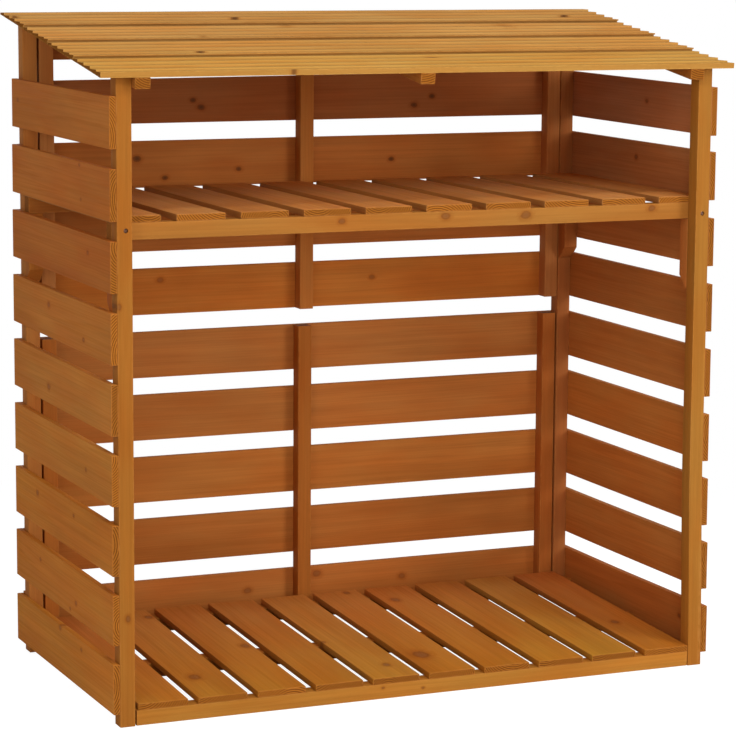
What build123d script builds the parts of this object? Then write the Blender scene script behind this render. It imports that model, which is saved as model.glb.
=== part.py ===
from build123d import *
import math
import os

# Open-fronted log store with a slatted floor, one upper shelf and a pitched roof of ridged boards
# that lap over one another.
# Millimetres. +Z is up, the open front faces -Y, and the origin is on the ground
# below the middle of the whole store.

# stock
slat_width = 90.0
slat_thickness = 12.0
post_width = 28.0
post_depth = 30.0
batten_size = 28.0
edge_round = 1.0

# frame, measured over the posts
frame_width = 1155.0
frame_depth = 587.0
front_height = 1136.5
roof_pitch = 8.2

# slatted walls
wall_rows = 9
foot_clearance = 24.0
wall_top_gap = 34.5
lower_back_rows = 5
batten_clearance = 4.5
middle_batten_offset = -7.0

# roof
rafter_height = 20.0
rafter_width = 28.0
roof_side_overhang = 33.5
roof_front_overhang = 20.0
roof_rear_overhang = 1.0
roof_board_count = 4
roof_board_width = 156.0
roof_board_thickness = 10.5
ridge_count = 5
ridge_spacing = 35.0
ridge_drop = 0.7
lip_gap_behind = 1.76
lip_gap_below = 2.5

# floor, a slatted panel that leans down to the front
floor_slat_count = 10
floor_slat_width = 92.5
floor_tilt = 2.65
floor_bearer_height = 28.0
floor_bearer_width = 28.0
floor_middle_bearer_y = 254.0

# shelf
shelf_slat_count = 10
shelf_slat_width = 90.0
shelf_top = 895.0
shelf_rail_height = 30.0
shelf_rail_width = 28.0
cleat_length = 131.0
cleat_size = 28.0
cleat_chamfer = 24.0

# what follows from the sizes above
half_width = frame_width / 2
post_inner = half_width - post_width
wall_pitch = (front_height - wall_top_gap - slat_width - foot_clearance) / (wall_rows - 1)
back_rows = wall_rows + 1
rear_post_front = frame_depth - post_depth
overall_rear = frame_depth + slat_thickness
roof_angle = math.radians(roof_pitch)
floor_angle = math.radians(floor_tilt)
beyond = 3 * slat_width


def block(x_low, x_high, y_low, y_high, z_low, z_high):
    """A plain length of timber between six faces."""
    piece = Box(x_high - x_low, y_high - y_low, z_high - z_low)
    return Pos((x_low + x_high) / 2, (y_low + y_high) / 2, (z_low + z_high) / 2) * piece


def softened(piece, axis):
    """Round the four long edges of a length of timber that lies along the axis."""
    return fillet(piece.edges().filter_by(axis), edge_round)


def on_roof(piece):
    """Tilt a piece about the line where the roof's underside meets the front of the posts."""
    return Pos(0, 0, front_height) * Rot(roof_pitch, 0, 0) * piece


def on_floor(piece):
    """Lean the floor panel, with the top of its front end plumb above the front of the posts."""
    setback = (floor_bearer_height + slat_thickness) * math.sin(floor_angle)
    return Pos(0, setback, 0) * Rot(floor_tilt, 0, 0) * piece


def row_of_slats(count, width, x_high, y_low, y_high, z_low):
    """Slats that run front to back, evenly spread between x_high and its mirror image."""
    step = (2 * x_high - width) / (count - 1)
    slats = []
    for index in range(count):
        left = index * step - x_high
        slat = block(left, left + width, y_low, y_high, z_low, z_low + slat_thickness)
        slats.append(softened(slat, Axis.Y))
    return slats


# everything above the roof's underside, and above the rafters' underside
above_roof = on_roof(block(-frame_width, frame_width, -beyond, frame_depth + beyond, 0, beyond))
above_rafters = on_roof(block(-frame_width, frame_width, -beyond, frame_depth + beyond, -rafter_height, beyond))
behind_frame = block(-frame_width, frame_width, frame_depth, frame_depth + beyond, 0, 2 * front_height)

nodes = {}

# posts, cut to the slope of the roof
tall = front_height + frame_depth * math.tan(roof_angle) + slat_width
post_places = {
    "front_left_post": (-half_width, 0),
    "front_right_post": (post_inner, 0),
    "rear_left_post": (-half_width, rear_post_front),
    "rear_right_post": (post_inner, rear_post_front),
}
for name, (x_low, y_low) in post_places.items():
    post = block(x_low, x_low + post_width, y_low, y_low + post_depth, 0, tall)
    nodes[name] = [softened(post, Axis.Z) - above_roof]

# side walls, slats on the outer faces of the posts
for name, x_low in (("left_wall_slats", -half_width - slat_thickness), ("right_wall_slats", half_width)):
    slats = []
    for row in range(wall_rows):
        z_low = foot_clearance + row * wall_pitch
        slat = block(x_low, x_low + slat_thickness, 0, overall_rear, z_low, z_low + slat_width)
        slats.append(softened(slat, Axis.Y))
    nodes[name] = slats

# back wall in two panels, slats on the rear faces of the posts and battens
lower_slats = []
upper_slats = []
for row in range(back_rows):
    z_low = foot_clearance + row * wall_pitch
    slat = block(-half_width, half_width, frame_depth, overall_rear, z_low, z_low + slat_width)
    slat = softened(slat, Axis.X)
    if row < lower_back_rows:
        lower_slats.append(slat)
    else:
        upper_slats.append(slat - above_roof)
nodes["lower_back_slats"] = lower_slats
nodes["upper_back_slats"] = upper_slats

batten_edge = post_inner - batten_clearance
batten_places = {
    "left": -batten_edge,
    "middle": middle_batten_offset - batten_size / 2,
    "right": batten_edge - batten_size,
}
lower_top = foot_clearance + (lower_back_rows - 1) * wall_pitch + slat_width
upper_bottom = foot_clearance + lower_back_rows * wall_pitch
batten_front = frame_depth - batten_size
for side, x_low in batten_places.items():
    lower = block(x_low, x_low + batten_size, batten_front, frame_depth, foot_clearance, lower_top)
    upper = block(x_low, x_low + batten_size, batten_front, frame_depth, upper_bottom, tall)
    nodes["lower_" + side + "_batten"] = [softened(lower, Axis.Z)]
    nodes["upper_" + side + "_batten"] = [softened(upper, Axis.Z) - above_rafters]

# rafters against the inner faces of the posts and over the middle batten
roof_front = -roof_front_overhang / math.cos(roof_angle)
roof_rear = (frame_depth + roof_rear_overhang) / math.cos(roof_angle)
rafter_places = {
    "left_rafter": -post_inner,
    "middle_rafter": middle_batten_offset - rafter_width / 2,
    "right_rafter": post_inner - rafter_width,
}
for name, x_low in rafter_places.items():
    rafter = block(x_low, x_low + rafter_width, roof_front, roof_rear + rafter_height, -rafter_height, 0)
    nodes[name] = [on_roof(softened(rafter, Axis.Y)) - behind_frame]

# roof boards, each stepped into ridges with level tops, with a front lip over the board before it
roof_half = half_width + roof_side_overhang
board_pitch = (roof_rear - roof_front - roof_board_width) / (roof_board_count - 1)
board_lap = roof_board_width - board_pitch
outer_ridge = (roof_board_width - (ridge_count - 2) * ridge_spacing) / 2
ridge_fronts = [0.0] + [outer_ridge + step * ridge_spacing for step in range(ridge_count - 1)]
ridge_rears = ridge_fronts[1:] + [roof_board_width]
ridge_tops = []
for index in range(ridge_count):
    height = roof_board_thickness - index * ridge_drop
    fall = (ridge_rears[index] - ridge_fronts[index]) * math.tan(roof_angle)
    ridge_tops.append((ridge_fronts[index], height))
    ridge_tops.append((ridge_rears[index], height - fall))
lapped_top = ridge_tops[-1][1] + board_lap * math.tan(roof_angle)
lip_bottom = lapped_top + lip_gap_below
lip_reach = board_lap + lip_gap_behind
lipped_front = [(lip_reach, 0), (lip_reach, lip_bottom), (0, lip_bottom)]
for index in range(roof_board_count):
    front = lipped_front if index > 0 else [(0, 0)]
    outline = Polyline(*front, *ridge_tops, (roof_board_width, 0), close=True)
    board = extrude(make_face(Plane.YZ * outline), roof_half, both=True)
    board = Pos(0, roof_front + index * board_pitch, 0) * board
    nodes["roof_board_" + str(index + 1)] = [on_roof(board)]

# floor panel
floor_length = (rear_post_front / math.cos(floor_angle)
                - (floor_bearer_height + slat_thickness) * math.sin(floor_angle) - edge_round)
floor_slats = row_of_slats(floor_slat_count, floor_slat_width, post_inner, 0, floor_length, floor_bearer_height)
nodes["floor_slats"] = [on_floor(slat) for slat in floor_slats]
bearer_places = {
    "floor_front_rail": (post_inner, 0),
    "floor_middle_bearer": (half_width, floor_middle_bearer_y),
    "floor_rear_bearer": (half_width, floor_length - floor_bearer_width),
}
for name, (reach, y_low) in bearer_places.items():
    bearer = block(-reach, reach, y_low, y_low + floor_bearer_width, 0, floor_bearer_height)
    nodes[name] = [on_floor(softened(bearer, Axis.X))]

# shelf on two rails, each end of a rail carried by a cleat against the post
shelf_underside = shelf_top - slat_thickness
rail_bottom = shelf_underside - shelf_rail_height
nodes["shelf_slats"] = row_of_slats(shelf_slat_count, shelf_slat_width, half_width,
                                    post_depth, rear_post_front, shelf_underside)
for name, y_low in (("shelf_front_rail", post_depth), ("shelf_rear_rail", rear_post_front - shelf_rail_width)):
    rail = block(-half_width, half_width, y_low, y_low + shelf_rail_width, rail_bottom, shelf_underside)
    nodes[name] = [softened(rail, Axis.X)]

for end, y_low, inner in (("front", post_depth, -1), ("rear", rear_post_front - cleat_size, 0)):
    for side, x_low in (("left", -half_width), ("right", half_width - cleat_size)):
        cleat = block(x_low, x_low + cleat_size, y_low, y_low + cleat_size, rail_bottom - cleat_length, rail_bottom)
        corner = cleat.edges().filter_by(Axis.X).group_by(Axis.Z)[0].sort_by(Axis.Y)[inner]
        nodes["shelf_" + end + "_" + side + "_cleat"] = [chamfer(corner, cleat_chamfer)]

# move the origin to the middle of the footprint and save
roof_tip = -roof_front_overhang - roof_board_thickness * math.sin(roof_angle)
centre_y = (roof_tip + overall_rear) / 2
os.makedirs("parts", exist_ok=True)
for name, solids in nodes.items():
    placed = [Pos(0, -centre_y, 0) * solid for solid in solids]
    shape = placed[0] if len(placed) == 1 else Compound(children=placed)
    export_step(shape, "parts/" + name + ".step")
    print(name, len(placed), round(sum(solid.volume for solid in placed)))
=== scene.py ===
import bpy
import math
import random

from mathutils import Matrix, Vector


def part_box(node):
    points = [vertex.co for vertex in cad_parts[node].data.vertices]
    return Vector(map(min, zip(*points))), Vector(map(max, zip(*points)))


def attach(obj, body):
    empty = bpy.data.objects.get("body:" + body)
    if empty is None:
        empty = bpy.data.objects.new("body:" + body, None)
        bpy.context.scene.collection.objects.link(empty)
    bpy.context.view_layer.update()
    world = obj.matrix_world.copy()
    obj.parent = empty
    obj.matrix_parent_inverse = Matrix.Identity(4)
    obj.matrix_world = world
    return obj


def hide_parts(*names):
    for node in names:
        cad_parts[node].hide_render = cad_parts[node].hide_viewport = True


# log store in stained softwood: slatted walls and floor, one shelf, and a roof of ridged boards
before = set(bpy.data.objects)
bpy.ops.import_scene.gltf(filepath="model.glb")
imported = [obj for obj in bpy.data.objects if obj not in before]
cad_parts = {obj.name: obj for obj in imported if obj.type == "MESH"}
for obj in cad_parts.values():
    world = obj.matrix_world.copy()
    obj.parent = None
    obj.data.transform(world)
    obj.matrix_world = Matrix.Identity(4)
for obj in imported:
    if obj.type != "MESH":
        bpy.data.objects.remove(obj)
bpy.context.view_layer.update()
rng = random.Random(23)
print("frame loaded:", len(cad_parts), "nodes")

right = Vector((1, 0, 0))
back = Vector((0, 1, 0))
up = Vector((0, 0, 1))
slack = 1e-5        # a point this near a line or plane lies on it


class Graph:
    # short ways to add shader nodes, whose inputs take a number, a colour or another node's output
    def __init__(self, owner):
        owner.use_nodes = True
        self.tree = owner.node_tree
        self.tree.nodes.clear()

    def add(self, kind, **settings):
        node = self.tree.nodes.new(kind)
        for setting, value in settings.items():
            setattr(node, setting, value)
        return node

    def feed(self, socket, value):
        if isinstance(value, bpy.types.NodeSocket):
            self.tree.links.new(value, socket)
        else:
            socket.default_value = value

    def shader(self, kind, inputs):
        node = self.add(kind)
        for name, value in inputs.items():
            self.feed(node.inputs[name], value)
        return node.outputs[0]

    def mixShaders(self, amount, first, second):
        node = self.add("ShaderNodeMixShader")
        for socket, value in zip(node.inputs, (amount, first, second)):
            self.feed(socket, value)
        return node.outputs[0]

    def maths(self, operation, *values):
        node = self.add("ShaderNodeMath", operation=operation)
        for socket, value in zip(node.inputs, values):
            self.feed(socket, value)
        return node.outputs[0]

    def plus(self, first, second):
        return self.maths("ADD", first, second)

    def minus(self, first, second):
        return self.maths("SUBTRACT", first, second)

    def times(self, first, second):
        return self.maths("MULTIPLY", first, second)

    def most(self, first, second):
        return self.maths("MAXIMUM", first, second)

    def vectors(self, operation, *values):
        node = self.add("ShaderNodeVectorMath", operation=operation)
        for socket, value in zip(node.inputs, values):
            self.feed(socket, value)
        return node.outputs["Value" if operation == "LENGTH" else "Vector"]

    def attribute(self, name, output="Vector"):
        return self.add("ShaderNodeAttribute", attribute_name=name).outputs[output]

    def parts(self, vector):
        node = self.add("ShaderNodeSeparateXYZ")
        self.feed(node.inputs[0], vector)
        return node.outputs

    def joined(self, x, y, z):
        node = self.add("ShaderNodeCombineXYZ")
        for socket, value in zip(node.inputs, (x, y, z)):
            self.feed(socket, value)
        return node.outputs[0]

    def brighten(self, colour, level):
        return self.vectors("MULTIPLY", colour, self.joined(level, level, level))

    def noise(self, place, stretch, detail, roughness, output="Fac"):
        node = self.add("ShaderNodeTexNoise")
        self.feed(node.inputs["Vector"], self.vectors("MULTIPLY", place, stretch))
        node.inputs["Scale"].default_value = 1.0
        node.inputs["Detail"].default_value = detail
        node.inputs["Roughness"].default_value = roughness
        return node.outputs[output]

    def fade(self, value, start, end, low=0.0, high=1.0):
        node = self.add("ShaderNodeMapRange", interpolation_type="SMOOTHSTEP")
        ends = (("From Min", start), ("From Max", end), ("To Min", low), ("To Max", high))
        for name, number in ends:
            node.inputs[name].default_value = number
        self.feed(node.inputs["Value"], value)
        return node.outputs["Result"]

    def ramp(self, value, stops):
        node = self.add("ShaderNodeValToRGB")
        line = node.color_ramp.elements
        while len(line) < len(stops):
            line.new(0.5)
        for point, (position, grey) in zip(line, stops):
            point.position = position
            point.color = (grey, grey, grey, 1)
        self.feed(node.inputs[0], value)
        return node.outputs[0]

    def mix(self, amount, first, second, blend="MIX"):
        node = self.add("ShaderNodeMix", data_type="RGBA", blend_type=blend, clamp_factor=True)
        self.feed(node.inputs["Factor"], amount)
        for socket, value in ((node.inputs[6], first), (node.inputs[7], second)):
            self.feed(socket, (*value, 1) if isinstance(value, tuple) else value)
        return node.outputs[2]

    def finish(self, kind, surface):
        self.feed(self.add(kind).inputs["Surface"], surface)


# camera, lamps and floor
camera = {
    "place": (-2.05473, -4.82310, 1.38495),
    "turn": (81.0901, -0.3689, -23.1453),
    "lens": 137.25,
    "sensor": 36.0,
}
lamps = {
    "front": {"place": (-0.9, -4.2, 3.7), "aim": (0.0, 0.0, 0.75), "size": 1.4, "power": 47.0},
    "steep": {"place": (0.3, -2.9, 5.2), "aim": (0.0, 0.0, 0.75), "size": 0.7, "power": 60.0},
    "low": {"place": (-1.5, -5.0, 1.5), "aim": (0.0, 0.0, 0.60), "size": 2.0, "power": 22.6},
    "right": {"place": (3.0, -4.2, 1.8), "aim": (0.0, 0.0, 0.60), "size": 2.0, "power": 78.0},
    "highRight": {"place": (2.4, -3.6, 3.6), "aim": (0.0, 0.0, 0.75), "size": 1.2, "power": 27.0},
    "left": {"place": (-3.6, -3.4, 2.2), "aim": (0.0, 0.0, 0.60), "size": 2.0, "power": 40.0},
}
surround = {"level": 0.31, "shown": 1.0}    # how much light it gives, and how bright it looks
ground = {
    "size": 60.0,
    "colour": (0.86, 0.86, 0.86, 1),
    "glow": 0.95,
    "shade": (0.20, 0.20, 0.20, 1),
    "shadowEnds": (0.75, 1.9),    # how far from the middle the floor turns white
}


def placeCamera():
    data = bpy.data.cameras.new("camera")
    data.lens = camera["lens"]
    data.sensor_width = camera["sensor"]
    item = bpy.data.objects.new("camera", data)
    item.location = camera["place"]
    item.rotation_euler = [math.radians(angle) for angle in camera["turn"]]
    bpy.context.scene.collection.objects.link(item)
    bpy.context.scene.camera = item


def placeLamp(name, lamp):
    data = bpy.data.lights.new(name, "AREA")
    data.shape = "DISK"
    data.size = lamp["size"]
    data.energy = lamp["power"]
    item = bpy.data.objects.new(name, data)
    item.location = lamp["place"]
    facing = Vector(lamp["aim"]) - Vector(lamp["place"])
    item.rotation_euler = facing.to_track_quat("-Z", "Y").to_euler()
    bpy.context.scene.collection.objects.link(item)


def whiteSurround():
    # soft light on the object, and plain white where the surround itself is seen
    world = bpy.data.worlds.new("surround")
    bpy.context.scene.world = world
    graph = Graph(world)
    path = graph.add("ShaderNodeLightPath").outputs
    seen = graph.most(path["Is Camera Ray"], path["Is Glossy Ray"])
    seen = graph.most(seen, path["Is Transmission Ray"])
    white = {"Color": (1, 1, 1, 1)}
    lighting = graph.shader("ShaderNodeBackground", {**white, "Strength": surround["level"]})
    shown = graph.shader("ShaderNodeBackground", {**white, "Strength": surround["shown"]})
    graph.finish("ShaderNodeOutputWorld", graph.mixShaders(seen, lighting, shown))


def floorMaterial():
    # the camera sees it nearly white, with the object's shadow, and plain white further off
    material = bpy.data.materials.new("paleFloor")
    graph = Graph(material)
    matt = graph.shader("ShaderNodeBsdfDiffuse", {"Color": ground["colour"]})
    faint = graph.shader("ShaderNodeBsdfDiffuse", {"Color": ground["shade"]})
    glow = graph.shader("ShaderNodeEmission", {"Strength": ground["glow"]})
    white = graph.shader("ShaderNodeEmission", {"Strength": 1.0})
    shadowed = graph.add("ShaderNodeAddShader")
    graph.feed(shadowed.inputs[0], faint)
    graph.feed(shadowed.inputs[1], glow)
    away = graph.vectors("LENGTH", graph.add("ShaderNodeTexCoord").outputs["Object"])
    shown = graph.mixShaders(graph.fade(away, *ground["shadowEnds"]), shadowed.outputs[0], white)
    toCamera = graph.add("ShaderNodeLightPath").outputs["Is Camera Ray"]
    graph.finish("ShaderNodeOutputMaterial", graph.mixShaders(toCamera, matt, shown))
    return material


placeCamera()
for lampName, lamp in lamps.items():
    placeLamp(lampName, lamp)
whiteSurround()
bpy.ops.object.select_all(action="DESELECT")
bpy.ops.mesh.primitive_plane_add(size=ground["size"], location=(0, 0, 0))
floor = bpy.context.object
floor.name = "floor"
floor.data.materials.append(floorMaterial())
bpy.context.scene.view_settings.view_transform = "Standard"
print("camera, lamps and floor placed")


# stained wood
woods = {
    "slat_wood": {
        "early": (0.505, 0.170, 0.0300),
        "late": (0.345, 0.094, 0.0135),
        "stain": (0.88, 0.83, 0.78),
        "endEarly": (0.400, 0.136, 0.0160),
        "endLate": (0.145, 0.040, 0.0045),
        "wornAndHighlit": (0.540, 0.205, 0.050),
        "contrast": 0.28,
        "roughness": 0.58,
    },
    "frame_wood": {
        "early": (0.405, 0.142, 0.0230),
        "late": (0.285, 0.083, 0.0100),
        "stain": (0.91, 0.87, 0.81),
        "endEarly": (0.360, 0.120, 0.0130),
        "endLate": (0.160, 0.044, 0.0048),
        "wornAndHighlit": (0.560, 0.235, 0.055),
        "contrast": 0.26,
        "roughness": 0.56,
    },
    "roof_wood": {
        "early": (0.555, 0.288, 0.0735),
        "late": (0.365, 0.150, 0.0280),
        "stain": (0.92, 0.89, 0.84),
        "endEarly": (0.330, 0.115, 0.0120),
        "endLate": (0.180, 0.055, 0.0060),
        "wornAndHighlit": (0.680, 0.370, 0.090),
        "contrast": 0.20,
        "roughness": 0.78,
        "paintedShade": (0.270, 0.100, 0.0170),    # painted shade at the foot of the boards' steps, with some pooled stain, and on their front faces and under the next board's lip
    },
}
# a noise is how often it repeats in a metre, along the board, across it and through it, then its
# detail and roughness; a band is the values between which something fades, then what they become
grain = {
    "ringWidth": 0.0056,
    "ringShades": ((0.0, 0.05), (0.45, 0.20), (0.78, 0.72), (0.90, 1.0), (1.0, 0.08)),
    "ringDrift": 4.5,       # how unevenly the rings are spaced
    "driftNoise": ((0.0, 60.0, 60.0), 1.0, 0.5),
    "sway": 0.024,          # how far the rings wander along a board
    "swayNoise": ((1.1, 5.0, 5.0), 2.0, 0.45),
    "fibreNoise": ((8.0, 420.0, 420.0), 3.0, 0.6),
    "fibreBand": (0.30, 0.70, 0.95, 1.04),
    "flameNoise": ((3.0, 75.0, 75.0), 3.0, 0.55),
    "flameBand": (0.30, 0.70, 0.94, 1.05),
    "patchNoise": ((2.4, 10.0, 10.0), 3.0, 0.5),
    "patchBand": (0.42, 0.72),
    "contrastBand": (0.25, 0.75),
    "patchContrast": 0.45,    # the share of the rings' contrast that stays inside a patch
    "mellowNoise": ((5.0, 15.0, 15.0), 2.0, 0.5),
    "mellowBand": (0.30, 0.70, -1.0, 1.0),
    "mellow": (0.07, 0.14),   # green and blue, from the redder patches to the yellower ones
}
# the bands of a knot are in knot sizes from its middle
knotLook = {
    "letters": "ABCD",
    "slimness": 0.72,       # how much shorter than its length along the board it is across it
    "rippleNoise": ((60.0, 90.0, 90.0), 2.0, 0.5),
    "ripple": 0.9,
    "coreBand": (1.05, 0.45),
    "rimOutside": (1.45, 1.0),
    "rimInside": (0.55, 1.0),
    "haloBand": (2.9, 0.7),
    "push": 1.5,            # how far the rings are pushed round it
    "colour": (0.205, 0.080, 0.0260),
    "rimColour": (0.120, 0.038, 0.0120),
    "rimShare": 0.7,
    "haloColour": (0.82, 0.70, 0.58),
    "depthBand": (0.5, 0.9, 1.0, 0.5),    # the deeper the knot, the darker its colour
    "none": (900.0, 900.0, 0.004),        # so far off that it shows nowhere
}
sawnLook = {
    "ringWidth": 0.0040,
    "ringShades": ((0.0, 0.0), (0.38, 0.10), (0.66, 1.0), (0.92, 0.9), (1.0, 0.05)),
    "coarseNoise": ((40.0, 380.0, 380.0), 2.0, 0.6),
    "coarseBand": (0.50, 0.75, 0.0, 0.4),
}
# lighter board edges: partly wear, partly a painted highlight
wearAndHighlightLook = {
    "edgeBand": (0.0030, 0.0004),
    "chipNoise": ((70.0, 160.0, 160.0), 3.0, 0.6),
    "chipBand": (0.36, 0.62),
    "share": 0.34,
}
relief = {
    "ring": 0.30,
    "fibre": 0.55,
    "sawn": 1.4,
    "knot": 0.5,
    "strength": 0.55,
    "depth": 0.0003,
    "gloss": 0.05,
    "ringRoughness": 0.10,
    "wornRoughness": 0.12,
    "knotSmoothness": 0.12,
}


def knotMasks(graph, place):
    # core, rim and halo of all the knots, and how far they push the rings outward
    x, y, z = graph.parts(place)
    ripple = graph.minus(graph.noise(place, *knotLook["rippleNoise"]), 0.5)
    ripple = graph.times(ripple, knotLook["ripple"])
    core, rim, halo, push = 0.0, 0.0, 0.0, 0.0
    for letter in knotLook["letters"]:
        knotX, knotY, knotSize = graph.parts(graph.attribute("knot" + letter))
        along = graph.times(graph.minus(x, knotX), knotLook["slimness"])
        across = graph.minus(y, knotY)
        squares = graph.plus(graph.maths("POWER", along, 2.0), graph.maths("POWER", across, 2.0))
        distance = graph.maths("DIVIDE", graph.maths("SQRT", squares), knotSize)
        ragged = graph.plus(distance, ripple)
        core = graph.most(core, graph.fade(ragged, *knotLook["coreBand"]))
        outside = graph.fade(ragged, *knotLook["rimOutside"])
        inside = graph.fade(ragged, *knotLook["rimInside"])
        rim = graph.most(rim, graph.times(outside, inside))
        near = graph.fade(ragged, *knotLook["haloBand"])
        halo = graph.most(halo, near)
        push = graph.plus(push, graph.times(near, graph.times(knotSize, knotLook["push"])))
    return core, rim, halo, push


def sideGrain(graph, look, place, bent, ring, fibre):
    # early and late wood in streaks, with stained and mellower patches
    patch = graph.noise(place, *grain["patchNoise"])
    most = look["contrast"]
    contrast = graph.fade(patch, *grain["contrastBand"], most, most * grain["patchContrast"])
    colour = graph.mix(graph.times(ring, contrast), look["early"], look["late"])
    flame = graph.fade(graph.noise(bent, *grain["flameNoise"]), *grain["flameBand"])
    colour = graph.brighten(colour, graph.times(flame, graph.fade(fibre, *grain["fibreBand"])))
    stained = graph.mix(1.0, colour, look["stain"], "MULTIPLY")
    colour = graph.mix(graph.fade(patch, *grain["patchBand"]), colour, stained)
    mellow = graph.fade(graph.noise(place, *grain["mellowNoise"]), *grain["mellowBand"])
    green, blue = (graph.plus(1.0, graph.times(mellow, share)) for share in grain["mellow"])
    tint = graph.vectors("MULTIPLY", graph.attribute("tint"), graph.joined(1.0, green, blue))
    return graph.vectors("MULTIPLY", colour, tint)


def paintKnots(graph, colour, core, rim, halo):
    colour = graph.mix(halo, colour, graph.mix(1.0, colour, knotLook["haloColour"], "MULTIPLY"))
    depth = graph.attribute("knotDepth", "Fac")
    darker = graph.fade(depth, *knotLook["depthBand"])
    heart = graph.vectors("MULTIPLY", graph.joined(darker, darker, darker), knotLook["colour"])
    colour = graph.mix(graph.times(core, depth), colour, heart)
    rimDepth = graph.times(depth, knotLook["rimShare"])
    return graph.mix(graph.times(rim, rimDepth), colour, knotLook["rimColour"])


def sawnGrain(graph, look, fromHeart, coarse):
    rings = graph.maths("FRACT", graph.maths("DIVIDE", fromHeart, sawnLook["ringWidth"]))
    ring = graph.ramp(rings, sawnLook["ringShades"])
    colour = graph.mix(ring, look["endEarly"], look["endLate"])
    colour = graph.mix(graph.fade(coarse, *sawnLook["coarseBand"]), colour, look["endLate"])
    return graph.vectors("MULTIPLY", colour, graph.attribute("endTint"))


def edgeWearAndHighlight(graph, place):
    # wear and painted highlight along the edges, strong where the second smallest distance to a
    # side of the board is small
    spot = graph.vectors("ABSOLUTE", graph.attribute("spot"))
    a, b, c = graph.parts(graph.vectors("SUBTRACT", graph.attribute("half"), spot))
    nearer = graph.maths("MINIMUM", a, b)
    toEdge = graph.most(nearer, graph.maths("MINIMUM", graph.most(a, b), c))
    chips = graph.fade(graph.noise(place, *wearAndHighlightLook["chipNoise"]), *wearAndHighlightLook["chipBand"])
    return graph.times(graph.fade(toEdge, *wearAndHighlightLook["edgeBand"]), chips)


def woodMaterial(name, look):
    material = bpy.data.materials.new(name)
    graph = Graph(material)

    # place in the log: x along the board, y and z from the heart
    place = graph.attribute("grain")
    swirl = graph.noise(place, *grain["swayNoise"], "Color")
    shift = graph.vectors("SUBTRACT", swirl, (0.5, 0.5, 0.5))
    sway = graph.vectors("MULTIPLY", shift, (0.0, grain["sway"], grain["sway"]))
    bent = graph.vectors("ADD", place, sway)
    fromHeart = graph.vectors("LENGTH", graph.vectors("MULTIPLY", bent, (0.0, 1.0, 1.0)))
    core, rim, halo, push = knotMasks(graph, place)
    fromHeart = graph.plus(fromHeart, push)
    drift = graph.times(graph.noise(place, *grain["driftNoise"]), grain["ringDrift"])
    rings = graph.plus(graph.maths("DIVIDE", fromHeart, grain["ringWidth"]), drift)
    ring = graph.ramp(graph.maths("FRACT", rings), grain["ringShades"])
    fibre = graph.noise(place, *grain["fibreNoise"])
    coarse = graph.noise(place, *sawnLook["coarseNoise"])

    colour = sideGrain(graph, look, place, bent, ring, fibre)
    colour = paintKnots(graph, colour, core, rim, halo)
    # painted shade on the roof boards' step feet, front faces and strips under the next board,
    # with some pooled stain at the steps
    if "paintedShade" in look:
        colour = graph.mix(graph.attribute("paintedShadeShare", "Fac"), colour, look["paintedShade"])
    sawn = graph.attribute("sawnEnd", "Fac")
    colour = graph.mix(sawn, colour, sawnGrain(graph, look, fromHeart, coarse))
    # lighter edges: partly wear, partly a painted highlight
    wearAndHighlight = edgeWearAndHighlight(graph, place)
    colour = graph.mix(graph.times(wearAndHighlight, wearAndHighlightLook["share"]), colour, look["wornAndHighlit"])

    rough = graph.plus(look["roughness"], graph.times(ring, relief["ringRoughness"]))
    rough = graph.plus(rough, graph.times(graph.plus(wearAndHighlight, sawn), relief["wornRoughness"]))
    rough = graph.minus(rough, graph.times(core, relief["knotSmoothness"]))
    height = graph.plus(graph.times(ring, relief["ring"]), graph.times(fibre, relief["fibre"]))
    height = graph.plus(height, graph.times(graph.times(coarse, sawn), relief["sawn"]))
    height = graph.minus(height, graph.times(core, relief["knot"]))
    bump = graph.shader("ShaderNodeBump", {
        "Strength": relief["strength"],
        "Distance": relief["depth"],
        "Height": height,
    })
    surface = graph.shader("ShaderNodeBsdfPrincipled", {
        "Specular IOR Level": relief["gloss"],
        "Base Color": colour,
        "Roughness": rough,
        "Normal": bump,
    })
    graph.finish("ShaderNodeOutputMaterial", surface)
    return material


wood = {name: woodMaterial(name, look) for name, look in woods.items()}
print("wood ready")


# boards
timber = {
    "slatWidth": 0.090,      # in the walls and the shelf
    "edgeRound": 0.0011,     # planed long edges
    "roundSteps": 3,
    "endRound": 0.0006,      # sawn ends
    "crossCuts": {"cleat": 3, "usual": 11, "post": 17, "long": 19, "roof": 23},
    "unevenness": 0.0003,    # always inward, so that a board never grows
    "unevenSize": 0.16,
    "bow": 0.0062,           # how far outward the foot of the right front post stands
    "bowLength": 0.42,
    "logLength": 60.0,       # boards are cut from anywhere in a log this long
    "heartAside": 0.6,       # how far aside a log's heart may lie, in board widths
    "heartDepth": (0.02, 0.07),
    "tintScatter": 0.02,
    "endLevels": (0.88, 1.10),
    "endFacing": 0.75,       # a face turned this much along the board is a sawn end
    "sideDepth": 0.0006,     # points this near a board's narrow sides belong to them
}
uneven = bpy.data.textures.new("uneven", "CLOUDS")
uneven.noise_scale = timber["unevenSize"]
uneven.noise_depth = 1


def selectOnly(*pieces):
    # the first one becomes the active one
    bpy.ops.object.select_all(action="DESELECT")
    for piece in pieces:
        piece.select_set(True)
    bpy.context.view_layer.objects.active = pieces[0]


def objectMode():
    bpy.ops.object.mode_set(mode="OBJECT")


def clearMesh(piece, *parts):
    # deselects all of the piece's mesh; parts says whether points, edges and faces can be selected
    selectOnly(piece)
    bpy.context.tool_settings.mesh_select_mode = parts
    bpy.ops.object.mode_set(mode="EDIT")
    bpy.ops.mesh.select_all(action="DESELECT")
    objectMode()


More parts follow.
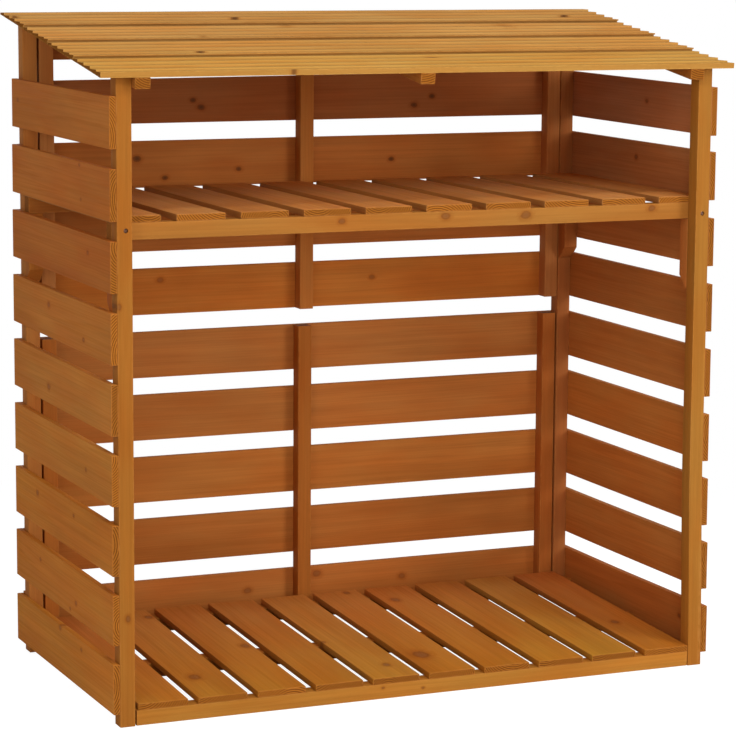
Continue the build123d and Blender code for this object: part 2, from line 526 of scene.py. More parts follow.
def editEdges(piece, test):
    # leaves the piece in edit mode, with the edges selected whose two ends pass the test
    clearMesh(piece, False, True, False)
    points = piece.data.vertices
    for edge in piece.data.edges:
        edge.select = test(points[edge.vertices[0]].co, points[edge.vertices[1]].co)
    bpy.ops.object.mode_set(mode="EDIT")


def movePoints(piece, test, shift, reach=0.0):
    # moves the points that pass the test, and those within reach of them less and less
    clearMesh(piece, True, False, False)
    for point in piece.data.vertices:
        point.select = test(point.co)
    bpy.ops.object.mode_set(mode="EDIT")
    bpy.ops.transform.translate(value=shift, use_proportional_edit=reach > 0,
                                proportional_size=reach or 1.0, proportional_edit_falloff="SMOOTH")
    objectMode()


def addBlock(size, place=(0, 0, 0), turn=(0, 0, 0)):
    bpy.ops.object.select_all(action="DESELECT")
    bpy.ops.mesh.primitive_cube_add(size=1, location=place, rotation=turn, scale=size)
    return bpy.context.object


def applyPlace():
    bpy.ops.object.transform_apply(location=True, rotation=True, scale=True)


def discard(piece):
    bpy.data.objects.remove(piece)


def subdivideAlong(piece, length, crossCuts):
    editEdges(piece, lambda a, b: abs(a.x - b.x) > length / 2)
    bpy.ops.mesh.subdivide(number_cuts=timber["crossCuts"][crossCuts])
    objectMode()


def shapeBoard(size, crossCuts="usual"):
    # a planed board on its own axes: x along, y across, z through
    length = size[0]
    piece = addBlock(size)
    piece.name = "stock"
    applyPlace()
    editEdges(piece, lambda a, b: abs(a.x - b.x) > length / 2)
    bpy.ops.mesh.bevel(offset=timber["edgeRound"], segments=timber["roundSteps"], affect="EDGES")
    objectMode()
    atEnd = length / 2 - slack
    editEdges(piece, lambda a, b: abs(a.x) > atEnd and abs(b.x) > atEnd and a.x * b.x > 0)
    bpy.ops.mesh.bevel(offset=timber["endRound"], segments=1, affect="EDGES")
    objectMode()
    subdivideAlong(piece, length, crossCuts)
    return piece


def setBoard(stock, name, centre, along, across):
    # a copy of the stock, with its own mesh, turned and moved to its place
    piece = stock.copy()
    piece.data = stock.data.copy()
    piece.name = name
    bpy.context.scene.collection.objects.link(piece)
    turn = Matrix((along, across, along.cross(across))).transposed().to_4x4()
    toPlace = Matrix.Translation(centre) @ turn
    piece.matrix_world = toPlace
    selectOnly(piece)
    applyPlace()
    return piece, toPlace


def sawOff(piece, point, normal):
    # takes away what lies on the normal's side of the plane, and closes the cut
    selectOnly(piece)
    bpy.ops.object.mode_set(mode="EDIT")
    bpy.ops.mesh.select_all(action="SELECT")
    bpy.ops.mesh.bisect(plane_co=point, plane_no=normal, use_fill=True, clear_outer=True)
    objectMode()


def bowOut(piece, test, share=1.0):
    # the right front post's foot stands a little outward, and draws the boards fixed to it along
    movePoints(piece, test, (timber["bow"] * share, 0, 0), timber["bowLength"])


def roughen(piece, amount):
    selectOnly(piece)
    bpy.ops.object.modifier_add(type="DISPLACE")
    shove = piece.modifiers[-1]
    shove.texture = uneven
    shove.texture_coords = "LOCAL"
    shove.mid_level = 1.0
    shove.strength = amount
    bpy.ops.object.modifier_apply(modifier=shove.name)


def putNumbers(mesh, name, kind, domain, values):
    layer = mesh.attributes.new(name, kind, domain)
    layer.data.foreach_set("vector" if kind == "FLOAT_VECTOR" else "value", values)


def finishBoard(piece, toPlace, size, tint=(0.0, 0.0, 0.0), knots=(), drift=0.0,
                hueDrift=(0.0, 0.0), knotDepth=0.6, sides=1.0, unevenness=timber["unevenness"]):
    # writes where each point lies in its board and in the log it was cut from; the tint is how
    # much brighter, yellower and bluer the board is, partly its own tone and partly painted light
    # and shade, the drifts are how much so toward its far end, and sides is how much darker its
    # narrow sides are, a painted shade for the gaps between boards; a knot is its place from the
    # board's middle and its size
    roughen(piece, unevenness)
    mesh = piece.data
    half = [side / 2 for side in size]
    aside = timber["heartAside"]
    scatter = timber["tintScatter"]
    heart = (rng.uniform(0, timber["logLength"]), rng.uniform(-aside, aside) * size[1],
             rng.choice((-1, 1)) * rng.uniform(*timber["heartDepth"]))
    brighter, yellower, bluer = (share + rng.uniform(-scatter, scatter) for share in tint)
    fromPlace = toPlace.inverted()
    spots = []
    grains = []
    tints = []
    for point in mesh.vertices:
        spot = fromPlace @ point.co
        spots.extend(spot)
        grains.extend(spot[axis] + heart[axis] for axis in range(3))
        share = spot.x / half[0]
        level = 1 + brighter + drift * share
        # painted shade on the narrow sides, which face the gaps between boards
        if abs(spot.y) > half[1] - timber["sideDepth"]:
            level *= sides
        yellow = level * (1 + yellower + hueDrift[0] * share)
        tints.extend((level, yellow, level * (1 + bluer + hueDrift[1] * share)))
    count = len(mesh.vertices)
    endLevel = rng.uniform(*timber["endLevels"])
    everywhere = {"half": half, "endTint": [endLevel] * 3}
    for index, letter in enumerate(knotLook["letters"]):
        everywhere["knot" + letter] = knotLook["none"]
        if index < len(knots):
            along, across, spread = knots[index]
            everywhere["knot" + letter] = (along + heart[0], across + heart[1], spread)
    for name, values in (("spot", spots), ("grain", grains), ("tint", tints)):
        putNumbers(mesh, name, "FLOAT_VECTOR", "POINT", values)
    for name, value in everywhere.items():
        putNumbers(mesh, name, "FLOAT_VECTOR", "POINT", value * count)
    putNumbers(mesh, "knotDepth", "FLOAT", "POINT", [knotDepth] * count)
    along = (toPlace.to_3x3() @ right).normalized()
    ends = [float(abs(face.normal.dot(along)) > timber["endFacing"]) for face in mesh.polygons]
    putNumbers(mesh, "sawnEnd", "FLOAT", "FACE", ends)


def joinAs(name, items, material, smoothBelow=40):
    selectOnly(*items)
    if len(items) > 1:
        bpy.ops.object.join()
    piece = items[0]
    piece.name = name
    piece.data.name = name
    piece.data.materials.clear()
    piece.data.materials.append(material)
    bpy.ops.object.shade_smooth_by_angle(angle=math.radians(smoothBelow))
    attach(piece, "root")
    return piece


def gather(name, boards, node, woodName):
    # one piece for each node of the frame
    piece = joinAs(name, boards, wood[woodName])
    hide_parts(node)


def gatherTimber(node, piece):
    gather(node.replace("_", "-") + "-timber", [piece], node, "frame_wood")


def makeTimber(node, size, centre, along, across, cuts=(), crossCuts="usual", bend=None, **look):
    # a length of the frame's timber, with its saw cuts as points and normals
    stock = shapeBoard(size, crossCuts)
    piece, toPlace = setBoard(stock, node, centre, along, across)
    discard(stock)
    for point, normal in cuts:
        sawOff(piece, point, normal)
    if bend:
        bend(piece)
    finishBoard(piece, toPlace, size, **look)
    gatherTimber(node, piece)


def middle(low, high):
    return (Vector(low) + Vector(high)) / 2


def uprightSize(low, high):
    return (high.z - low.z, high.x - low.x, high.y - low.y)


def fromMiddle(knots, size):
    # turns knots noted from a board's end and lower edge into places from its middle
    return [(fromEnd - size[0] / 2, rise - size[1] / 2, spread) for fromEnd, rise, spread in knots]


# slopes and sizes that several parts share
shared = {"roofSlope": 8.2, "floorSlope": 2.65, "rafterHeight": 0.020, "postDepth": 0.030}


def slopeAxes(degrees):
    # the turn, the way up the slope and the way square to it
    turn = math.radians(degrees)
    along = Vector((0, math.cos(turn), math.sin(turn)))
    return turn, along, right.cross(along)


roofTurn, roofAlong, roofUp = slopeAxes(shared["roofSlope"])
floorTurn, floorAlong, floorUp = slopeAxes(shared["floorSlope"])
postLow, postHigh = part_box("front_left_post")
eaves = Vector((0, postLow.y, postHigh.z - shared["postDepth"] * math.tan(roofTurn)))
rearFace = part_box("rear_left_post")[1].y


# posts
posts = {
    "front_left_post": {
        "tint": (-0.08, 0.02, -0.12),
        "knots": ((-0.376, 0.0015, 0.0036), (0.172, -0.0110, 0.0034)),
    },
    "front_right_post": {"tint": (-0.01, 0.09, 0.0)},
    "rear_left_post": {"tint": (0.16, 0.04, 0.40), "knots": ((-0.21, 0.004, 0.003),)},
    "rear_right_post": {"tint": (0.00, -0.10, 0.45), "knots": ((0.18, -0.005, 0.004),)},
}
screws = {
    # sideways from the post's middle, and height
    "places": {"front_left_post": (0.0024, 0.8728), "front_right_post": (0.0000, 0.8647)},
    "sides": 28,
    "holeRadius": 0.0040,
    "holeDepth": 0.0036,
    "headRadius": 0.0036,
    "headHeight": 0.0014,
    "headRound": 0.0003,
    "recessLength": 0.0044,
    "recessWidth": 0.0009,
    "recessDepth": 0.0008,
    "recessTurns": (20, 110),
    "smoothBelow": 30,
    # the steel is painted dark, a painted shade for the head deep in its hole
    "steel": (0.20, 0.10, 0.065),
    "stain": (0.070, 0.030, 0.018),
    "stainNoise": ((500.0, 500.0, 500.0), 2.0, 0.5),
    "stainBand": (0.40, 0.65),
    "brushNoise": ((2600.0, 2600.0, 300.0), 2.0, 0.5),
    "roughBand": (0.3, 0.7, 0.32, 0.52),
}


def cutAway(piece, cutter):
    selectOnly(piece)
    bpy.ops.object.modifier_add(type="BOOLEAN")
    cut = piece.modifiers[-1]
    cut.operation = "DIFFERENCE"
    cut.object = cutter
    bpy.ops.object.modifier_apply(modifier=cut.name)
    discard(cutter)


def addRound(radius, depth, place):
    # a short cylinder whose flat ends face front and back
    bpy.ops.object.select_all(action="DESELECT")
    bpy.ops.mesh.primitive_cylinder_add(vertices=screws["sides"], radius=radius, depth=depth,
                                        location=place, rotation=(math.radians(90), 0, 0))
    applyPlace()
    return bpy.context.object


def makeScrew(post, place):
    # a countersunk head at the bottom of its hole, with a cross recess
    cutAway(post, addRound(screws["holeRadius"], 2 * screws["holeDepth"], place))
    front = place.y + screws["holeDepth"] - screws["headHeight"]
    centre = (place.x, front + screws["headHeight"] / 2, place.z)
    head = addRound(screws["headRadius"], screws["headHeight"], centre)
    editEdges(head, lambda a, b: a.y < front + slack and b.y < front + slack)
    bpy.ops.mesh.bevel(offset=screws["headRound"], segments=2, affect="EDGES")
    objectMode()
    for turn in screws["recessTurns"]:
        recess = (screws["recessLength"], 2 * screws["recessDepth"], screws["recessWidth"])
        cutAway(head, addBlock(recess, (place.x, front, place.z), (0, math.radians(turn), 0)))
    return head


def steelMaterial():
    material = bpy.data.materials.new("screws")
    graph = Graph(material)
    place = graph.add("ShaderNodeTexCoord").outputs["Object"]
    stained = graph.fade(graph.noise(place, *screws["stainNoise"]), *screws["stainBand"])
    surface = graph.shader("ShaderNodeBsdfPrincipled", {
        "Metallic": 1.0,
        "Base Color": graph.mix(stained, screws["steel"], screws["stain"]),
        "Roughness": graph.fade(graph.noise(place, *screws["brushNoise"]), *screws["roughBand"]),
    })
    graph.finish("ShaderNodeOutputMaterial", surface)
    return material


screwHeads = []
for name, look in posts.items():
    low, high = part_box(name)
    size = uprightSize(low, high)
    stock = shapeBoard(size, "post")
    post, toPlace = setBoard(stock, name, middle(low, high), up, right)
    discard(stock)
    sawOff(post, eaves, roofUp)
    if name in screws["places"]:
        sideways, height = screws["places"][name]
        place = Vector(((low.x + high.x) / 2 + sideways, low.y, height))
        screwHeads.append(makeScrew(post, place))
    if name == "front_right_post":
        bowOut(post, lambda co: co.z < slack)
    finishBoard(post, toPlace, size, **look)
    gatherTimber(name, post)
heads = joinAs("post-screws", screwHeads, steelMaterial(), screws["smoothBelow"])
print("posts done")


# side walls
sideWalls = {
    "rows": 9,
    "left": {
        "knotDepth": 0.45,
        "tints": (
            (0.16, 0.01, -0.36), (0.11, 0.00, -0.36), (0.09, -0.02, -0.40),
            (0.10, 0.02, -0.22), (0.14, 0.08, -0.05), (0.04, -0.02, -0.16),
            (-0.07, -0.15, -0.32), (-0.01, -0.10, -0.26), (0.02, -0.08, -0.23),
        ),
        "short": {6: 0.0020, 7: 0.0046, 8: 0.0076},    # row: how much shorter it is at the rear
        "hung": {0: (0.0, 0.0040)},    # row: how much too low it hangs in front and at the rear
        # row: (from the front end, up from the slat's lower edge, size)
        "knots": {
            0: ((0.187, 0.074, 0.0026), (0.316, 0.086, 0.0040)),
            1: ((0.216, 0.029, 0.0033), (0.252, 0.011, 0.0026), (0.438, 0.063, 0.0026)),
            2: ((0.453, 0.064, 0.0040), (0.226, 0.065, 0.0026)),
            3: ((0.150, 0.039, 0.0026),),
            4: ((0.372, 0.031, 0.0046),),
            5: ((0.366, 0.060, 0.0040), (0.157, 0.024, 0.0033)),
            6: ((0.128, 0.058, 0.0033),),
            7: ((0.172, 0.084, 0.0026), (0.165, 0.024, 0.0020)),
            8: ((0.552, 0.052, 0.0026),),
        },
    },
    "right": {
        "knotDepth": 0.7,
        # the upper rows, which lie in shade, are painted much bluer, a painted shade colour
        "tints": (
            (-0.08, -0.06, 0.05), (0.06, 0.03, 0.18), (0.03, -0.02, 0.06),
            (0.08, 0.01, 0.12), (0.01, 0.02, 0.24), (-0.12, -0.02, 0.24),
            (-0.07, 0.03, 0.40), (-0.13, 0.08, 0.90), (-0.03, 0.16, 1.60),
        ),
        "short": {},
        "hung": {8: (0.0036, 0.0014)},
        "knots": {
            0: ((0.084, 0.052, 0.0033),),
            7: ((0.287, 0.059, 0.0040),),
            8: ((0.249, 0.049, 0.0033),),
        },
    },
}


def followPost(slat, height, frontEnd):
    # bends the slat's front end outward by as much as the post is bent at that height
    if height < timber["bowLength"]:
        nearFoot = 1 - height / timber["bowLength"]
        bowOut(slat, lambda co: co.y < frontEnd + slack, nearFoot * nearFoot * (3 - 2 * nearFoot))


for side in ("left", "right"):
    wall = sideWalls[side]
    low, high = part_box(side + "_wall_slats")
    size = (high.y - low.y, timber["slatWidth"], high.x - low.x)
    pitch = (high.z - low.z - size[1]) / (sideWalls["rows"] - 1)
    stock = shapeBoard(size)
    boards = []
    for row in range(sideWalls["rows"]):
        frontDrop, rearDrop = wall["hung"].get(row, (0.0, 0.0))
        tilt = rearDrop - frontDrop
        inward = abs(tilt) * size[1] / size[0] / 2    # so that no corner passes the rear face
        height = low.z + row * pitch + size[1] / 2 - (frontDrop + rearDrop) / 2
        centre = Vector(((low.x + high.x) / 2, (low.y + high.y) / 2 - inward, height))
        along = Vector((0, size[0], -tilt)).normalized()
        across = along.cross(-right)
        slat, toPlace = setBoard(stock, side + "Slat" + str(row), centre, along, across)
        if row in wall["short"]:
            sawOff(slat, Vector((0, high.y - wall["short"][row], 0)), back)
        if side == "right":
            followPost(slat, height, low.y)
        knots = fromMiddle(wall["knots"].get(row, ()), size)
        finishBoard(slat, toPlace, size, wall["tints"][row], knots, knotDepth=wall["knotDepth"])
        boards.append(slat)
    gather(side + "-wall", boards, side + "_wall_slats", "slat_wood")
    discard(stock)
print("side walls done")


# back wall
backWall = {
    "lowerRows": 5,
    "rows": 10,
    "tints": (
        (-0.02, -0.05, 0.10), (-0.13, -0.04, 0.10), (-0.02, 0.00, 0.09), (-0.04, -0.01, 0.22),
        (-0.03, 0.03, 0.32), (0.07, -0.06, -0.12), (-0.04, 0.00, 0.20), (0.10, -0.04, 0.16),
        (-0.18, -0.04, 0.48), (-0.06, 0.00, 0.40),
    ),
    # painted light: every slat is brighter toward its right end
    "drift": 0.12,
    "topShort": 0.005,      # how much shorter the top slat is at its left end
    # row: how much its top falls toward the left end, and from which x
    "tapered": {8: (0.0059, 0.515)},
    "paleKnots": 0.5,
    "darkKnots": 0.85,
    "darkKnotsFrom": 7,
    # row: (sideways from the middle, up from the slat's lower edge, size)
    "knots": {
        0: ((-0.118, 0.051, 0.0045), (0.031, 0.074, 0.0050), (0.2185, 0.053, 0.0045)),
        5: ((-0.299, 0.067, 0.0040), (0.148, 0.054, 0.0035)),
        7: (
            (-0.3445, 0.056, 0.0048), (-0.288, 0.018, 0.0036),
            (-0.136, 0.031, 0.0034), (0.1875, 0.042, 0.0036),
        ),
        8: (
            (-0.230, 0.043, 0.0036), (-0.214, 0.029, 0.0042),
            (0.276, 0.042, 0.0036), (0.237, 0.025, 0.0042),
        ),
    },
}
low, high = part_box("lower_back_slats")
size = (high.x - low.x, timber["slatWidth"], high.y - low.y)
pitch = (high.z - low.z - size[1]) / (backWall["lowerRows"] - 1)
stock = shapeBoard(size, "long")
panels = {"lower": [], "upper": []}
for row in range(backWall["rows"]):
    bottom = low.z + row * pitch
    centre = Vector((0, (low.y + high.y) / 2, bottom + size[1] / 2))
    slat, toPlace = setBoard(stock, "backSlat" + str(row), centre, right, up)
    if row in backWall["tapered"]:
        taper, until = backWall["tapered"][row]
        slant = Vector((until - low.x, 0, taper))
        sawOff(slat, Vector((until, 0, bottom + size[1])), slant.cross(back).normalized())
    if row == backWall["rows"] - 1:
        sawOff(slat, eaves, roofUp)
        sawOff(slat, Vector((low.x + backWall["topShort"], 0, 0)), -right)
    knots = [(sideways, rise - size[1] / 2, spread)
             for sideways, rise, spread in backWall["knots"].get(row, ())]
    depth = backWall["darkKnots" if row >= backWall["darkKnotsFrom"] else "paleKnots"]
    finishBoard(slat, toPlace, size, backWall["tints"][row], knots, backWall["drift"],
                knotDepth=depth)
    panels["lower" if row < backWall["lowerRows"] else "upper"].append(slat)
discard(stock)
for level, boards in panels.items():
    gather(level + "-back-wall", boards, level + "_back_slats", "slat_wood")

battens = {
    "tints": {
        "lower_left": (0.10, -0.10, -0.05),
        "lower_middle": (-0.05, -0.13, -0.20),
        "lower_right": (0.05, -0.16, 0.00),
        # the upper battens, in shade under the roof, are painted brighter and bluer: painted light
        "upper_left": (0.22, 0.08, 0.75),
        "upper_middle": (0.26, -0.03, 0.17),
        "upper_right": (0.18, -0.04, 0.50),
    },
    # how far each stands to the right of its place in the frame
    "aside": {"lower_right": 0.0012, "upper_middle": 0.0030, "upper_right": 0.0038},
}
for name, tint in battens["tints"].items():
    low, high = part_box(name + "_batten")
    centre = middle(low, high) + right * battens["aside"].get(name, 0.0)
    underRafters = [(eaves - roofUp * shared["rafterHeight"], roofUp)]
    makeTimber(name + "_batten", uprightSize(low, high), centre, up, right,
               underRafters if name.startswith("upper") else (), tint=tint)
print("back wall done")


# roof
rafterTints = {
    "left_rafter": (-0.08, -0.04, 0.0),
    "middle_rafter": (0.0, 0.0, 0.0),
    "right_rafter": (0.02, 0.0, 0.0),
}
for node, tint in rafterTints.items():
    low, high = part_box(node)
    start = (low.y - eaves.y) / math.cos(roofTurn)
    end = (high.y - eaves.y) / math.cos(roofTurn) + shared["rafterHeight"]
    size = (end - start, high.x - low.x, shared["rafterHeight"])
    centre = eaves + roofAlong * (start + end) / 2 - roofUp * size[2] / 2
    centre.x = (low.x + high.x) / 2
    rearCut = (Vector((0, rearFace, 0)), back)
    makeTimber(node, size, centre, roofAlong, -right, [rearCut], tint=tint)

roofBoards = {
    "count": 4,
    "width": 0.156,
    "thickness": 0.0105,
    "ridges": 5,
    "ridgePitch": 0.035,
    "ridgeDrop": 0.0007,
    "lipReach": 0.005,
    "lipThickness": 0.0035,
    "stepDepth": 0.0006,    # how far a ridge's front face leans
    "noseRound": 0.0007,
    "lastFlat": 0.0050,     # the strip of a ridge before the next one, cut apart from the rest
    "lap": 0.0032,          # the strip at the rear that the next board covers
    "unevenness": 0.0006,
    "tints": ((0.02, 0.0, -0.10), (0.0, 0.0, -0.04), (-0.02, 0.0, 0.06), (-0.03, 0.0, 0.12)),
    # board: (sideways from the middle, back from the board's middle, size)
    "knots": {
        0: ((-0.262, -0.077, 0.0028), (0.050, 0.038, 0.0068)),
        1: ((-0.370, -0.054, 0.0046), (0.380, -0.063, 0.0036), (0.442, 0.070, 0.0060)),
        2: ((-0.311, -0.058, 0.0040), (-0.107, 0.0615, 0.0070), (0.345, 0.0375, 0.0090)),
        3: ((-0.600, 0.013, 0.0045), (-0.180, -0.018, 0.0045), (0.520, -0.016, 0.0050)),
    },
    "knotDepth": 0.90,
    "faceShade": 0.42,      # how deep the painted shade is on a board's front face
    "stepShade": (0.10, 0.45),
    "stepScatter": (0.5, 1.0),
    "stepReach": 0.00042,   # how far from a step's foot the painted shade reaches, and how far up the step
    "stepRise": 0.0015,
    "underside": 0.002,     # points this low belong to the underside and stay clear
    # painted shade on the strip that lies under the next board's lip
    "seamShade": 0.95,
}


def ridgeLines():
    # front line of every ridge, from the front edge of a board to its rear edge
    steps = roofBoards["ridges"] - 1
    outer = (roofBoards["width"] - (steps - 1) * roofBoards["ridgePitch"]) / 2
    return [0.0] + [outer + step * roofBoards["ridgePitch"] for step in range(steps)]


def ridgeTop(fromFront):
    # height of the stepped face above the underside: each ridge is level once the roof is pitched
    fronts = ridgeLines()
    index = max(number for number, line in enumerate(fronts) if fromFront >= line - slack)
    fall = (fromFront - fronts[index]) * math.tan(roofTurn)
    return roofBoards["thickness"] - index * roofBoards["ridgeDrop"] - fall


def roofLines(lipped):
    # where the flat board is cut across, so that each strip can be lowered by itself
    lean = roofBoards["stepDepth"]
    seam = roofBoards["width"] - roofBoards["lap"]
    lines = [seam - 2 * lean, seam - lean]
    for front in ridgeLines()[1:]:
        lines += [front - roofBoards["lastFlat"], front - lean, front]
    if lipped:
        lines += [roofBoards["lipReach"] - lean, roofBoards["lipReach"]]
    return lines


def shapeRoofBoard(size, lipped):
    length, width, thickness = size
    piece = addBlock(size)
    applyPlace()
    lines = roofLines(lipped)
    selectOnly(piece)
    bpy.ops.object.mode_set(mode="EDIT")
    for line in sorted(lines):
        bpy.ops.mesh.select_all(action="SELECT")
        bpy.ops.mesh.bisect(plane_co=(0, line - width / 2, 0), plane_no=(0, 1, 0))
    objectMode()
    for line in [0.0, *lines, width]:
        sink = ridgeTop(line) - thickness
        lineY = line - width / 2
        if sink < 0:
            movePoints(piece, lambda co: co.z > 0 and abs(co.y - lineY) < slack, (0, 0, sink))
    if lipped:
        behindLip = roofBoards["lipReach"] - roofBoards["stepDepth"] / 2 - width / 2
        underside = slack - thickness / 2
        raised = thickness - roofBoards["lipThickness"]
        movePoints(piece, lambda co: co.z < underside and co.y < behindLip, (0, 0, raised))
    noses = [front - width / 2 for front in ridgeLines()]
    editEdges(piece, lambda a, b: abs(a.x - b.x) > length / 2 and a.z > -thickness / 4
              and any(abs(a.y - nose) < slack and abs(b.y - nose) < slack for nose in noses))
    bpy.ops.mesh.bevel(offset=roofBoards["noseRound"], segments=2, affect="EDGES")
    objectMode()
    subdivideAlong(piece, length, "roof")
    return piece


def putPaintedShade(piece, toPlace, covered):
    # how deep the painted shade is: at every step's foot, with some pooled stain there, on the
    # front face and under the next board's lip
    lean = roofBoards["stepDepth"]
    fromPlace = toPlace.inverted()
    shades = [rng.uniform(*roofBoards["stepShade"]) for front in ridgeLines()[1:]]
    seam = roofBoards["width"] - roofBoards["lap"] - lean
    depths = []
    for point in piece.data.vertices:
        spot = fromPlace @ point.co
        fromFront = spot.y + roofBoards["width"] / 2
        rise = spot.z + roofBoards["thickness"] / 2
        highest = ridgeTop(max(fromFront, 0.0)) + roofBoards["stepRise"]
        atFoot = roofBoards["underside"] < rise < highest
        depth = 0.0
        for front, shade in zip(ridgeLines()[1:], shades):
            if atFoot and abs(front - lean - fromFront) < roofBoards["stepReach"]:
                depth = shade * rng.uniform(*roofBoards["stepScatter"])
        if covered and fromFront > seam - slack:
            depth = roofBoards["seamShade"]
        if fromFront < roofBoards["noseRound"] / 2:
            depth = roofBoards["faceShade"]
        depths.append(depth)
    putNumbers(piece.data, "paintedShadeShare", "FLOAT", "POINT", depths)


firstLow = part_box("roof_board_1")[0]
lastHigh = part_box("roof_board_4")[1]
topReach = roofBoards["thickness"] * math.sin(roofTurn)    # a board's top edge past its lower one
roofFront = (firstLow.y - eaves.y + topReach) / math.cos(roofTurn)
roofRear = (lastHigh.y - eaves.y) / math.cos(roofTurn)
boardPitch = (roofRear - roofFront - roofBoards["width"]) / (roofBoards["count"] - 1)
size = (lastHigh.x - firstLow.x, roofBoards["width"], roofBoards["thickness"])
for index in range(roofBoards["count"]):
    stock = shapeRoofBoard(size, lipped=index > 0)
    fromEaves = roofFront + index * boardPitch + size[1] / 2
    centre = eaves + roofAlong * fromEaves + roofUp * size[2] / 2
    board, toPlace = setBoard(stock, "roofBoard" + str(index), centre, right, roofAlong)
    putPaintedShade(board, toPlace, covered=index < roofBoards["count"] - 1)
    finishBoard(board, toPlace, size, roofBoards["tints"][index], roofBoards["knots"][index],
                knotDepth=roofBoards["knotDepth"], unevenness=roofBoards["unevenness"])
    gather("roof-board-" + str(index + 1), [board], "roof_board_" + str(index + 1), "roof_wood")
    discard(stock)
print("roof done")


# floor, a panel that leans down to the front
floorPanel = {
    "slats": 10,
    "slatWidth": 0.0925,
    "slatThickness": 0.012,
    "bearer": 0.028,
    "slatShift": 0.0055,    # how far the slats' front ends lie to the right, toward the bowed post
    "railShift": 0.0025,
    "railBow": 0.48,        # the rail's share of the post's bow
    "tints": (
        (-0.02, 0.04, -0.10), (-0.03, 0.10, -0.05), (-0.03, 0.04, -0.15), (-0.06, 0.08, -0.10),
        (0.02, 0.14, 0.00), (-0.02, 0.04, -0.15), (-0.02, 0.02, -0.20), (0.02, 0.13, -0.12),
        (0.06, 0.22, -0.05), (0.00, -0.06, -0.18),
    ),
    # painted shade: darker, less yellow and bluer toward the rear, and darker narrow sides in the
    # gaps
    "look": {"drift": -0.03, "hueDrift": (-0.07, 0.20), "sides": 0.85},
    # slat: (from the front end, sideways from its middle, size)
    "knots": {
        1: ((0.115, -0.013, 0.0085), (0.501, 0.035, 0.0055)),
        2: ((0.265, 0.031, 0.0065),),
        4: ((0.072, 0.012, 0.0060), (0.241, -0.044, 0.0040)),
        5: ((0.109, -0.013, 0.0120), (0.539, 0.020, 0.0050)),
        6: ((0.462, -0.019, 0.0070),),
        9: ((0.184, -0.010, 0.0060),),
    },
    "bearers": {
        "floor_front_rail": {
            "tint": (0.12, 0.14, 0.03),
            "drift": 0.07,
            "knots": ((-0.079, 0.007, 0.0019), (0.001, -0.001, 0.0019)),
        },
        "floor_middle_bearer": {"tint": (-0.05, -0.05, 0.0)},
        "floor_rear_bearer": {"tint": (-0.05, -0.05, 0.0)},
    },
}
setback = (floorPanel["bearer"] + floorPanel["slatThickness"]) * math.sin(floorTurn)
toe = Vector((0, eaves.y + setback, 0))    # the panel's lowest front corner, which it leans about
low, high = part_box("floor_slats")
floorLength = (high.y - toe.y + floorPanel["bearer"] * math.sin(floorTurn)) / math.cos(floorTurn)
size = (floorLength, floorPanel["slatWidth"], floorPanel["slatThickness"])
step = (high.x - low.x - size[1]) / (floorPanel["slats"] - 1)
along = (floorAlong * floorLength - right * floorPanel["slatShift"]).normalized()
stock = shapeBoard(size)
boards = []
for index in range(floorPanel["slats"]):
    centre = toe + floorAlong * floorLength / 2 + floorUp * (floorPanel["bearer"] + size[2] / 2)
    centre.x = low.x + size[1] / 2 + index * step + floorPanel["slatShift"] / 2
    slat, toPlace = setBoard(stock, "floorSlat" + str(index), centre, along, floorUp.cross(along))
    knots = [(fromEnd - floorLength / 2, -sideways, spread)
             for fromEnd, sideways, spread in floorPanel["knots"].get(index, ())]
    finishBoard(slat, toPlace, size, floorPanel["tints"][index], knots, **floorPanel["look"])
    boards.append(slat)
gather("floor-slats-timber", boards, "floor_slats", "slat_wood")
discard(stock)


def bendRail(rail):
    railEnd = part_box("floor_front_rail")[1].x
    bowOut(rail, lambda co: co.x > railEnd - slack, floorPanel["railBow"])


for node, look in floorPanel["bearers"].items():
    low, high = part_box(node)
    start = (low.y - toe.y + floorPanel["bearer"] * math.sin(floorTurn)) / math.cos(floorTurn)
    size = (high.x - low.x, floorPanel["bearer"], floorPanel["bearer"])
    centre = toe + floorAlong * (start + size[1] / 2) + floorUp * size[2] / 2
    bend = None
    if node == "floor_front_rail":
        centre.x += floorPanel["railShift"]
        bend = bendRail
    makeTimber(node, size, centre, right, floorUp, crossCuts="long", bend=bend, **look)
print("floor done")


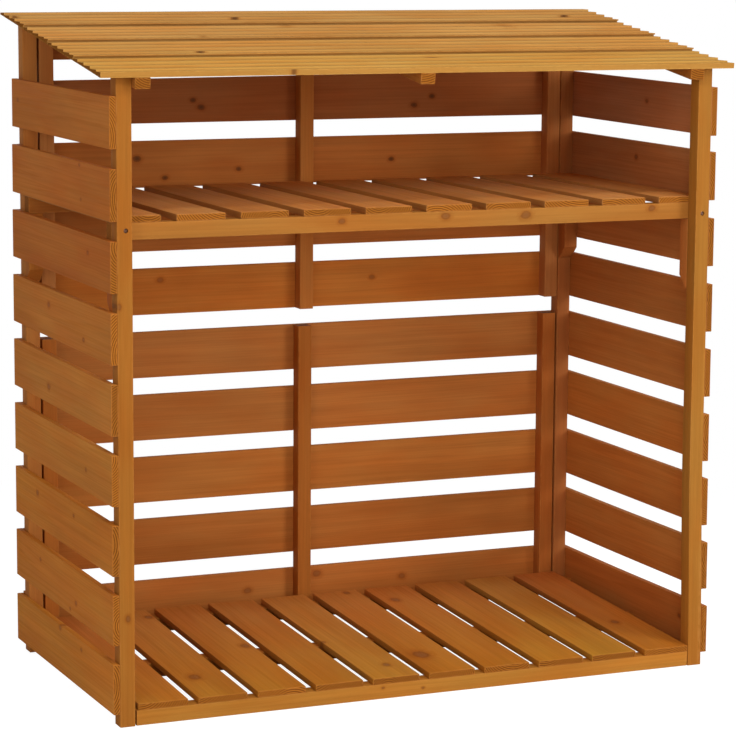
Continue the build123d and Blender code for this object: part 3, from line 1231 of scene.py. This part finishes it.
# shelf
shelf = {
    "slats": 10,
    # brighter and bluer than the other slats: partly their own tone, partly painted light on the
    # shelf's top
    "tints": (
        (0.16, 0.22, 0.75), (0.22, 0.22, 0.75), (0.20, 0.18, 0.60), (0.26, 0.16, 0.50),
        (0.28, 0.12, 0.40), (0.24, 0.14, 0.40), (0.28, 0.16, 0.50), (0.30, 0.19, 0.65),
        (0.32, 0.21, 0.75), (0.30, 0.21, 0.75),
    ),
    # painted shade on the slats' narrow sides, in the gaps between them
    "sides": 0.62,
    "rails": {
        "shelf_front_rail": {
            "tint": (-0.05, 0.08, 0.18),
            "knots": (
                (-0.150, 0.004, 0.0040), (0.052, 0.006, 0.0050),
                (0.213, 0.003, 0.0055), (0.473, 0.007, 0.0045),
            ),
        },
        "shelf_rear_rail": {"tint": (-0.06, -0.06, 0.0)},
    },
    "cleats": {
        "shelf_front_left_cleat": (-0.04, -0.20, -0.20),
        "shelf_front_right_cleat": (0.18, -0.14, 0.10),
        "shelf_rear_left_cleat": (-0.03, -0.05, 0.0),
        "shelf_rear_right_cleat": (-0.06, -0.12, 0.2),
    },
    "chamfer": 0.024,
}
low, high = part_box("shelf_slats")
size = (high.y - low.y, timber["slatWidth"], high.z - low.z)
step = (high.x - low.x - size[1]) / (shelf["slats"] - 1)
stock = shapeBoard(size)
boards = []
for index in range(shelf["slats"]):
    centre = middle(low, high)
    centre.x = low.x + size[1] / 2 + index * step
    slat, toPlace = setBoard(stock, "shelfSlat" + str(index), centre, back, -right)
    finishBoard(slat, toPlace, size, shelf["tints"][index], sides=shelf["sides"])
    boards.append(slat)
gather("shelf-slats-timber", boards, "shelf_slats", "slat_wood")
discard(stock)
for node, look in shelf["rails"].items():
    low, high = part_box(node)
    size = (high.x - low.x, high.z - low.z, high.y - low.y)
    makeTimber(node, size, middle(low, high), right, up, crossCuts="long", **look)
for node, tint in shelf["cleats"].items():
    low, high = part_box(node)
    inFront = "front" in node
    corner = Vector((0, high.y if inFront else low.y, low.z + shelf["chamfer"]))
    facing = back if inFront else -back
    makeTimber(node, uprightSize(low, high), middle(low, high), up, right,
               [(corner, (facing - up).normalized())], "cleat", tint=tint)
print("shelf done")


print("finished")
